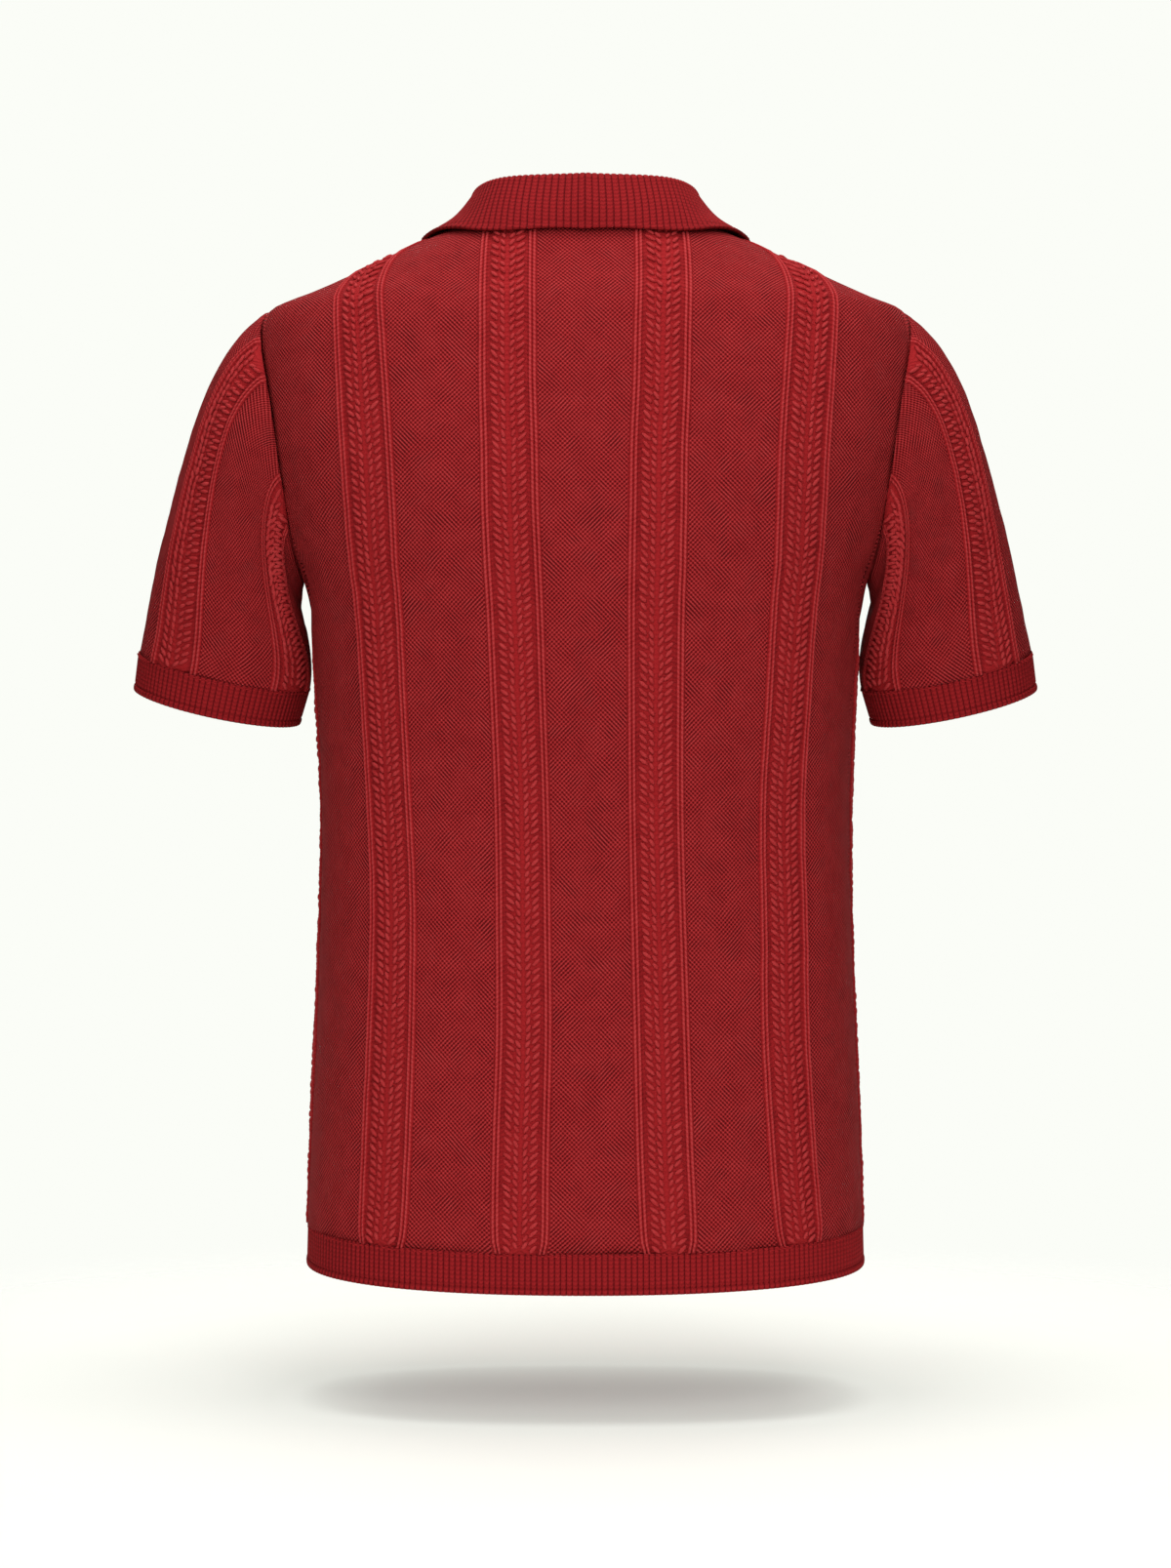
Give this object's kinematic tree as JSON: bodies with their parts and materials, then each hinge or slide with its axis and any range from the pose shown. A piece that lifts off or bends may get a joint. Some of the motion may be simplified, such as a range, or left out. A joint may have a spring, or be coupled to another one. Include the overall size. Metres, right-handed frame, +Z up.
{
  "type": "polo shirt",
  "caption": "Short-sleeved knitted polo shirt in deep red, with raised cable columns, a ribbed collar, cuffs and hem, and a short buttoned placket, held in its worn shape.",
  "frame": {"origin": "midway between the two points where neck and shoulder meet, where the wearer's shoulders hold the shirt", "axes": "+Z up, the front faces -Y, the wearer's left is +X"},
  "size_m": [0.6056, 0.2557, 0.7205],
  "materials": {
    "cloth": "matte cotton knit, deep red",
    "rib": "matte ribbed cotton knit, deep red",
    "button": "smooth dark red resin"
  },
  "bodies": {
    "root": {"back": "cloth", "front": "cloth", "sleeve_left": "cloth", "sleeve_right": "cloth", "hem_rib": "rib", "cuff_left": "rib", "cuff_right": "rib", "collar": "rib", "placket_under": "cloth", "placket_over": "cloth", "button_1": "button", "button_2": "button", "button_3": "button"}
  },
  "joints": []
}
